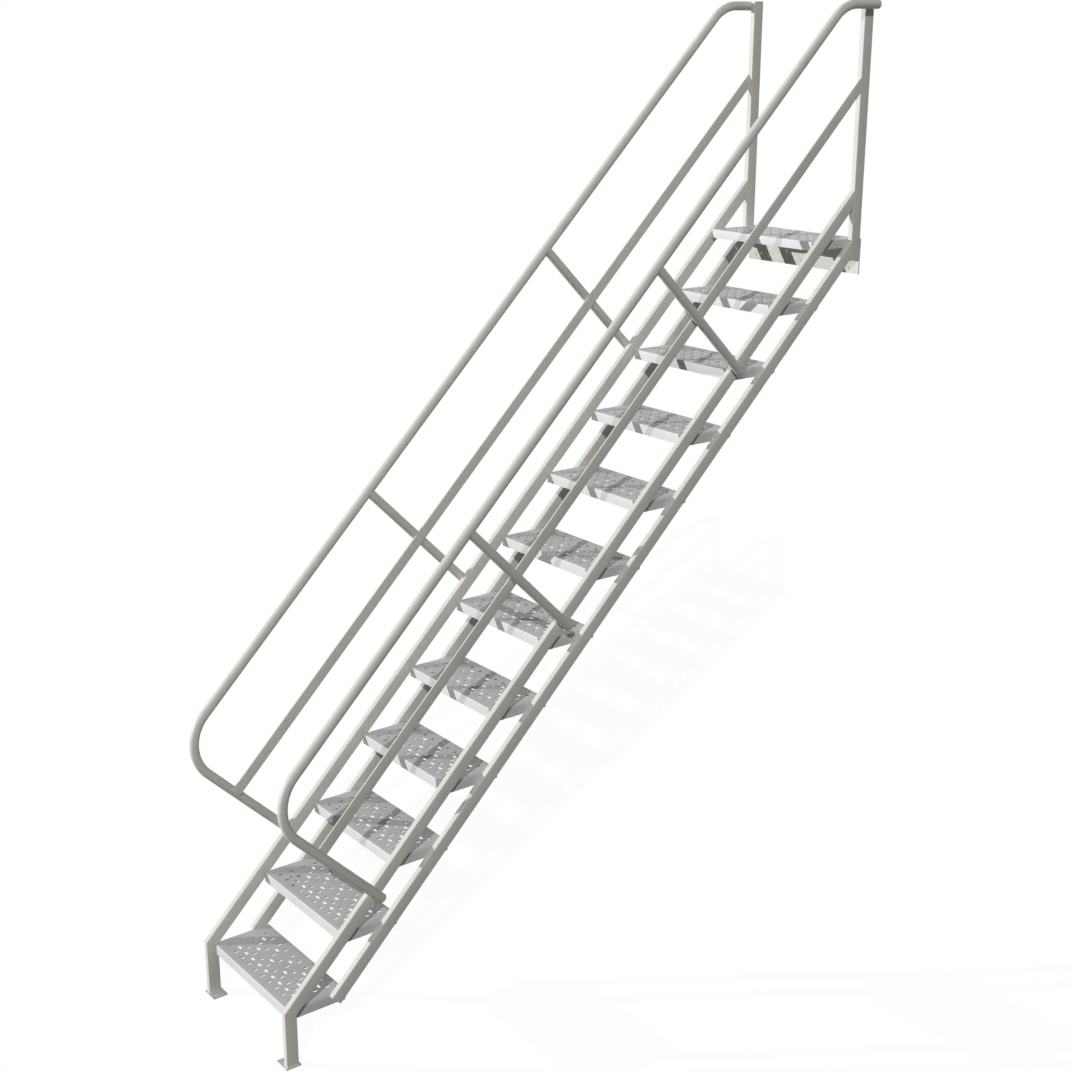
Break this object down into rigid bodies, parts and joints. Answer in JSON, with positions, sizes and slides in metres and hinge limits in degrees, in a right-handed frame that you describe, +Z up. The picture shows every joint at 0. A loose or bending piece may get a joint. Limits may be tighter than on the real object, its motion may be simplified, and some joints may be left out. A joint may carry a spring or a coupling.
{
  "type": "steel stair unit",
  "caption": "Straight steel stair flight with perforated folded treads between rectangular tube side frames, round handrails, flat midrails and a mounting plate at the landing.",
  "frame": {"origin": "middle of the rear face of the mounting plate", "axes": "+Y from the foot of the stair to the landing, +Z up, +X to the right of somebody who walks up"},
  "size_m": [0.7366, 2.9199, 3.8544],
  "materials": {
    "frame": "light grey painted steel",
    "rail": "light grey painted steel",
    "tread": "light grey painted steel sheet",
    "plate": "light grey painted steel"
  },
  "bodies": {
    "root": {"left_foot_plate": "plate", "left_front_stringer": "frame", "left_handrail": "rail", "left_leg": "frame", "left_lower_brace": "rail", "left_midrail": "rail", "left_post": "frame", "left_rear_stringer": "frame", "left_upper_brace": "rail", "mounting_plate": "plate", "right_foot_plate": "plate", "right_front_stringer": "frame", "right_handrail": "rail", "right_leg": "frame", "right_lower_brace": "rail", "right_midrail": "rail", "right_post": "frame", "right_rear_stringer": "frame", "right_upper_brace": "rail", "tread_01": "tread", "tread_02": "tread", "tread_03": "tread", "tread_04": "tread", "tread_05": "tread", "tread_06": "tread", "tread_07": "tread", "tread_08": "tread", "tread_09": "tread", "tread_10": "tread", "tread_11": "tread", "tread_12": "tread"}
  },
  "joints": []
}
